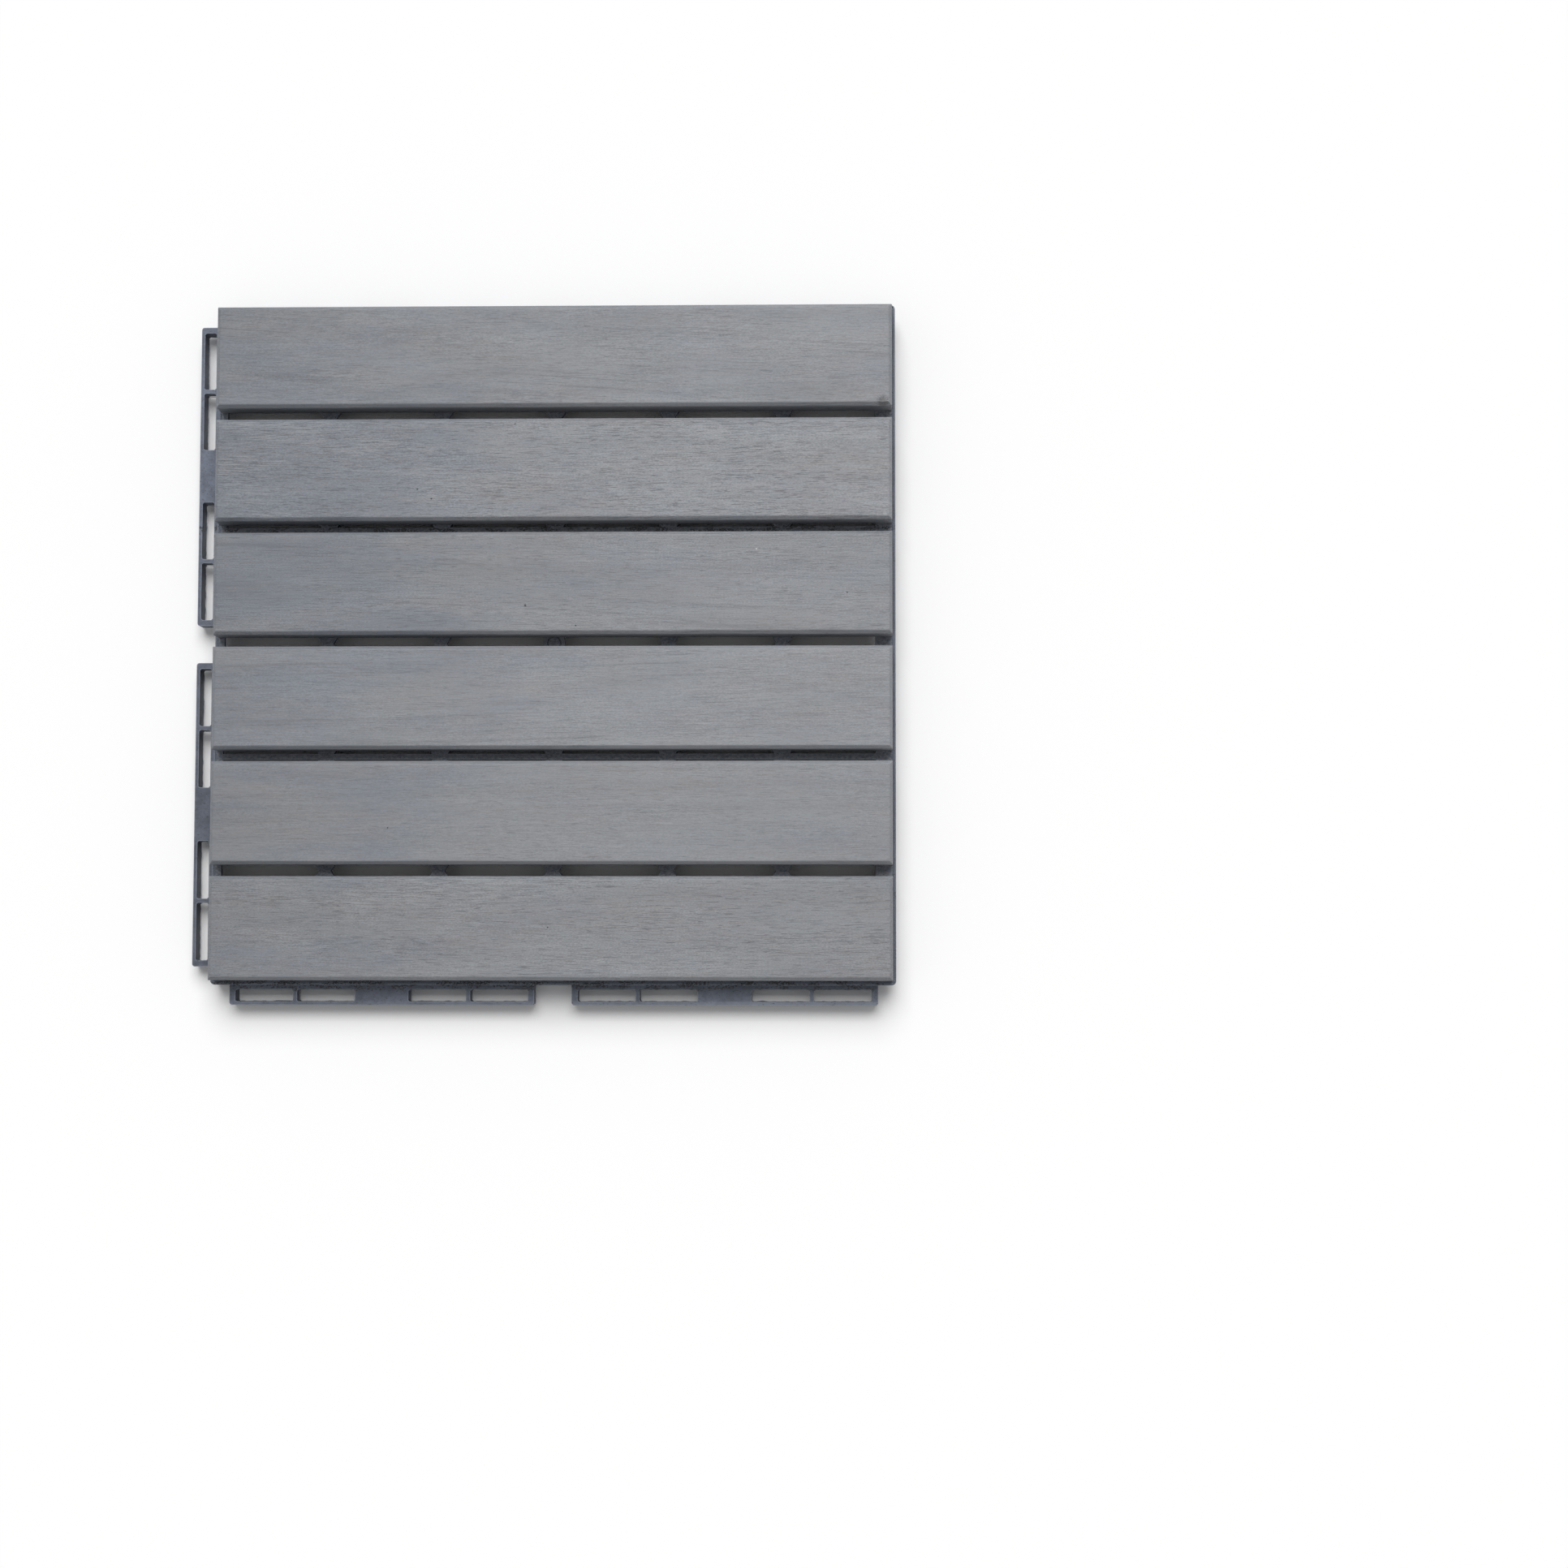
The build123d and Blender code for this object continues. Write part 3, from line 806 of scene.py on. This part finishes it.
def screw(x, y, vertices, faces):
    """One screw, from the bottom of its recess over the head and up the shank to the point."""
    def ring(radius, z):
        first = len(vertices)
        for k in range(screw_sides):
            turn = 2 * math.pi * (k + 0.5) / screw_sides
            r = radius(turn, z) if callable(radius) else radius
            vertices.append((x + r * math.cos(turn), y + r * math.sin(turn), z))
        return list(range(first, first + screw_sides))

    def square(z):
        first = len(vertices)
        for k in range(screw_sides):
            turn = 2 * math.pi * (k + 0.5) / screw_sides
            c, s = math.cos(turn), math.sin(turn)
            r = recess_half / max(abs(c), abs(s))
            vertices.append((x + r * c, y + r * s, z))
        return list(range(first, first + screw_sides))

    def thread(turn, z):
        """Radius of the threaded shank at this turn and height."""
        phase = (z / thread_pitch - turn / (2 * math.pi)) % 1.0
        ridge = max(0.0, 1 - abs(phase - 0.5) / ridge_half)
        taper = min(1.0, max(point_share, (screw_tip - z) / point_length))
        start = min(1.0, max(0.0, (z - head_top - thread_start) / thread_pitch))
        return (root_radius + (crest_radius - root_radius) * ridge * start) * taper

    rings = [square(recess_top), square(head_bottom + recess_lip), square(head_bottom)]
    for k in range(corner_steps + 1):
        turn = math.pi / 2 * k / corner_steps
        inset = head_corner * (1 - math.sin(turn))
        rings.append(ring(head_radius - inset, head_bottom + head_corner * (1 - math.cos(turn))))
    rings += [ring(head_radius, head_top), ring(root_radius, head_top)]
    count = round((screw_tip - head_top) / thread_step)
    rings += [ring(thread, head_top + (screw_tip - head_top) * k / count) for k in range(1, count + 1)]
    for lower, upper in zip(rings, rings[1:]):
        for k in range(screw_sides):
            n = (k + 1) % screw_sides
            faces.append((lower[k], lower[n], upper[n], upper[k]))
    faces.extend([rings[0][::-1], rings[-1]])


def screws():
    """All screws, two to a slat."""
    vertices, faces = [], []
    for x in screw_bars:
        for low, high in slat_boxes.values():
            screw(x, (low.y + high.y) / 2, vertices, faces)
    piece("square_drive_screws", vertices, faces, zinc("zinc_plated_steel"), ("slat_screws",))


screws()


# Floor: plain and pale, white to the camera and in reflections, and it keeps the tile's shadow
def seen_rays(tree):
    """1 for the rays that show the background, 0 for those that light the tile."""
    path = tree.nodes.new("ShaderNodeLightPath")
    total = path.outputs["Is Camera Ray"]
    for kind in ("Is Glossy Ray", "Is Transmission Ray"):
        more = tree.nodes.new("ShaderNodeMath")
        more.operation = "MAXIMUM"
        tree.links.new(total, more.inputs[0])
        tree.links.new(path.outputs[kind], more.inputs[1])
        total = more.outputs[0]
    return total


floor_half = 3.0
floor_mesh = bpy.data.meshes.new("floor")
floor_corners = [(-floor_half, -floor_half, 0), (floor_half, -floor_half, 0),
                 (floor_half, floor_half, 0), (-floor_half, floor_half, 0)]
floor_mesh.from_pydata(floor_corners, [], [(0, 1, 2, 3)])
floor = bpy.data.objects.new("floor", floor_mesh)
bpy.context.scene.collection.objects.link(floor)
floor_paint = Recipe("pale_floor")
plain = (floor_tone, floor_tone, floor_tone, 1.0)
shown = floor_paint.blend(seen_rays(floor_paint.tree), plain, paper_white)
floor_paint.feed(floor_paint.shader.inputs["Base Color"], shown)
floor_paint.feed(floor_paint.shader.inputs["Roughness"], 1.0)
floor_paint.feed(floor_paint.shader.inputs["Specular IOR Level"], 0.0)
floor_mesh.materials.append(floor_paint.material)


# Surround and lamp
world = bpy.data.worlds.new("surround")
world.use_nodes = True
bpy.context.scene.world = world
sky = world.node_tree
background = sky.nodes["Background"]
level = sky.nodes.new("ShaderNodeMapRange")
sky.links.new(seen_rays(sky), level.inputs["Value"])
level.inputs["To Min"].default_value = surround_share
level.inputs["To Max"].default_value = 1.0
background.inputs["Color"].default_value = paper_white
sky.links.new(level.outputs["Result"], background.inputs["Strength"])

sun_data = bpy.data.lights.new("soft_overhead", "SUN")
sun_data.angle = sun_angle
sun_data.energy = math.pi * sun_share / sun_place.normalized().z
sun = bpy.data.objects.new("soft_overhead", sun_data)
sun.rotation_mode = "QUATERNION"
sun.rotation_quaternion = Vector((0, 0, 1)).rotation_difference(sun_place)
bpy.context.scene.collection.objects.link(sun)

# Camera
camera_data = bpy.data.cameras.new("camera")
camera_data.lens = camera_lens
camera = bpy.data.objects.new("camera", camera_data)
camera.location = camera_place
camera.rotation_mode = "QUATERNION"
camera.rotation_quaternion = Vector((0, 0, -1)).rotation_difference(camera_target - camera_place)
bpy.context.scene.collection.objects.link(camera)
bpy.context.scene.camera = camera
bpy.context.scene.view_settings.view_transform = "Standard"
